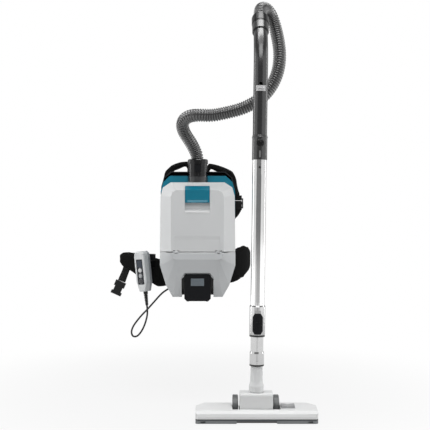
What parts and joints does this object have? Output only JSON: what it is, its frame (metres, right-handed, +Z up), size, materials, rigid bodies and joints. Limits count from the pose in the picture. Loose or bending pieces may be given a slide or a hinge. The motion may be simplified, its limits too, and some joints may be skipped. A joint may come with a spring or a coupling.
{
  "type": "backpack vacuum cleaner",
  "caption": "Backpack vacuum cleaner with hinged dust lid, battery, harness, wired remote, ribbed hose, telescopic wand and floor nozzle.",
  "frame": {"origin": "centre of the upper back pad's flat face, where the pack rests on the wearer's back", "axes": "+Y out of the back pad towards the wearer, +Z up, +X towards the wand (the wearer's right)"},
  "size_m": [0.6083, 0.493, 1.1673],
  "materials": {
    "cover_white": "satin light grey-white moulding",
    "housing_black": "fine-textured black moulding",
    "accent_teal": "smooth teal moulding",
    "black_gloss": "smooth black moulding",
    "white_shell": "smooth off-white moulding",
    "grey_plastic": "mid-grey moulding",
    "light_grey": "light grey moulding",
    "frosted_clear": "frosted translucent moulding",
    "chrome": "bright plated steel",
    "steel": "plain steel",
    "soft_black": "black mesh over foam",
    "webbing_black": "woven black webbing",
    "paper": "filter paper",
    "filter_white": "pleated filter medium",
    "rubber_black": "matt black rubber",
    "board_green": "coated circuit board",
    "copper": "varnished windings",
    "bristle": "dense nylon bristle"
  },
  "bodies": {
    "pack": {"lid_hinge_pins": "steel", "lower_cover": "cover_white", "accent_frame": "accent_teal", "base_housing": "housing_black", "housing_screws": "steel", "harness_plate": "housing_black", "inlet_port": "frosted_clear", "bag_holder": "grey_plastic", "dust_bag": "paper", "hepa_filter": "filter_white", "motor_housing": "black_gloss", "motor_stator": "copper", "controller_board": "board_green", "terminal_block": "black_gloss", "back_pad_upper": "soft_black", "back_pad_lower": "soft_black", "shoulder_strap_left": "soft_black", "shoulder_strap_right": "soft_black", "ladder_locks": "black_gloss", "strap_webbing": "webbing_black", "hip_wing_left": "soft_black", "hip_wing_right": "soft_black", "belt_webbing": "webbing_black", "buckle_socket": "black_gloss", "buckle_plug": "black_gloss", "remote_case_front": "white_shell", "remote_case_rear": "white_shell", "remote_clip": "black_gloss", "remote_strain_relief": "rubber_black", "remote_cable": "rubber_black", "cable_gland": "rubber_black"},
    "lid": {"dust_lid": "cover_white"},
    "latch": {"lid_latch": "accent_teal"},
    "battery": {"battery_case": "black_gloss"},
    "battery_button": {"battery_button": "light_grey"},
    "button_power": {"remote_button_power": "white_shell"},
    "button_mode": {"remote_button_mode": "light_grey"},
    "button_boost": {"remote_button_boost": "black_gloss"},
    "impeller": {"impeller": "grey_plastic"},
    "hose": {"hose": "black_gloss", "hose_cuff": "black_gloss", "handle_cuff": "black_gloss"},
    "cuff_tab": {"cuff_tab": "grey_plastic"},
    "handle": {"handle_grip": "black_gloss", "outer_tube": "chrome", "tube_sleeve": "chrome"},
    "air_slider": {"air_slider": "chrome"},
    "handle_lock": {"handle_lock_button": "grey_plastic"},
    "sleeve_button": {"sleeve_button": "black_gloss"},
    "inner": {"inner_tube": "chrome", "inner_collar": "chrome", "nozzle_neck": "frosted_clear"},
    "knuckle": {"nozzle_knuckle": "white_shell"},
    "nozzle": {"nozzle_shell": "white_shell", "nozzle_base": "housing_black"},
    "brush": {"brush_strips": "bristle"},
    "pedal": {"pedal": "grey_plastic"},
    "wheel_left": {"wheel_left": "grey_plastic"},
    "wheel_right": {"wheel_right": "grey_plastic"}
  },
  "joints": [
    {"name": "lid_hinge", "type": "hinge", "parent": "pack", "child": "lid", "pos_m": [0, -0.1878, -0.0445], "axis": [1, 0, 0], "range_deg": [0, 95]},
    {"name": "latch_pivot", "type": "hinge", "parent": "lid", "child": "latch", "pos_m": [0, -0.175, 0.1435], "axis": [-1, 0, 0], "range_deg": [0, 30], "stiffness_Nm_per_rad": 0.05, "springref_deg": -14.32},
    {"name": "battery_slide", "type": "slide", "parent": "pack", "child": "battery", "axis": [0, 0, -1], "range_m": [0, 0.1]},
    {"name": "battery_button_press", "type": "slide", "parent": "battery", "child": "battery_button", "axis": [0, 1, 0], "range_m": [0, 0.0025], "stiffness_N_per_m": 500, "springref_m": -0.001},
    {"name": "button_power_press", "type": "slide", "parent": "pack", "child": "button_power", "axis": [0.6127, 0.788, 0.0611], "range_m": [0, 0.001], "stiffness_N_per_m": 400, "springref_m": -0.001},
    {"name": "button_mode_press", "type": "slide", "parent": "pack", "child": "button_mode", "axis": [0.6127, 0.788, 0.0611], "range_m": [0, 0.001], "stiffness_N_per_m": 400, "springref_m": -0.001},
    {"name": "button_boost_press", "type": "slide", "parent": "pack", "child": "button_boost", "axis": [0.6127, 0.788, 0.0611], "range_m": [0, 0.001], "stiffness_N_per_m": 400, "springref_m": -0.001},
    {"name": "impeller_spin", "type": "hinge", "parent": "pack", "child": "impeller", "pos_m": [0, -0.058, -0.1], "axis": [0, 0, 1], "continuous": true},
    {"name": "hose_swivel", "type": "hinge", "parent": "pack", "child": "hose", "pos_m": [0, -0.115, 0.2], "axis": [0, 0, 1], "range_deg": [-90, 90]},
    {"name": "cuff_tab_press", "type": "slide", "parent": "hose", "child": "cuff_tab", "axis": [0, 1, 0], "range_m": [0, 0.001], "stiffness_N_per_m": 400, "springref_m": -0.001},
    {"name": "handle_swivel", "type": "hinge", "parent": "hose", "child": "handle", "pos_m": [0.1775, -0.3229, 0.5549], "axis": [0.0114, 0.5736, 0.8191], "continuous": true},
    {"name": "air_slide", "type": "slide", "parent": "handle", "child": "air_slider", "axis": [0.014, 0, 0.9999], "range_m": [0, 0.012]},
    {"name": "handle_lock_press", "type": "slide", "parent": "handle", "child": "handle_lock", "axis": [0, 1, 0], "range_m": [0, 0.002], "stiffness_N_per_m": 400, "springref_m": -0.001},
    {"name": "telescope", "type": "slide", "parent": "handle", "child": "inner", "axis": [-0.014, 0, -0.9999], "range_m": [-0.038, 0.3]},
    {"name": "sleeve_button_slide", "type": "slide", "parent": "handle", "child": "sleeve_button", "axis": [0.014, 0, 0.9999], "range_m": [0, 0.008], "stiffness_N_per_m": 300, "springref_m": -0.004},
    {"name": "neck_swivel", "type": "hinge", "parent": "inner", "child": "knuckle", "pos_m": [0.1633, -0.35, -0.463], "axis": [0.014, 0, 0.9999], "range_deg": [-90, 90]},
    {"name": "nozzle_tilt", "type": "hinge", "parent": "knuckle", "child": "nozzle", "pos_m": [0.1633, -0.35, -0.463], "axis": [1, 0, 0], "range_deg": [0, 60]},
    {"name": "wheel_left_spin", "type": "hinge", "parent": "nozzle", "child": "wheel_left", "pos_m": [0.1073, -0.32, -0.462], "axis": [1, 0, 0], "continuous": true},
    {"name": "wheel_right_spin", "type": "hinge", "parent": "nozzle", "child": "wheel_right", "pos_m": [0.2193, -0.32, -0.462], "axis": [1, 0, 0], "continuous": true},
    {"name": "pedal_rock", "type": "hinge", "parent": "nozzle", "child": "pedal", "pos_m": [0.2493, -0.35, -0.4615], "axis": [0, 1, 0], "range_deg": [0, 6]},
    {"name": "brush_lift", "type": "slide", "parent": "nozzle", "child": "brush", "axis": [0, 0, -1], "range_m": [0, 0.005]}
  ]
}
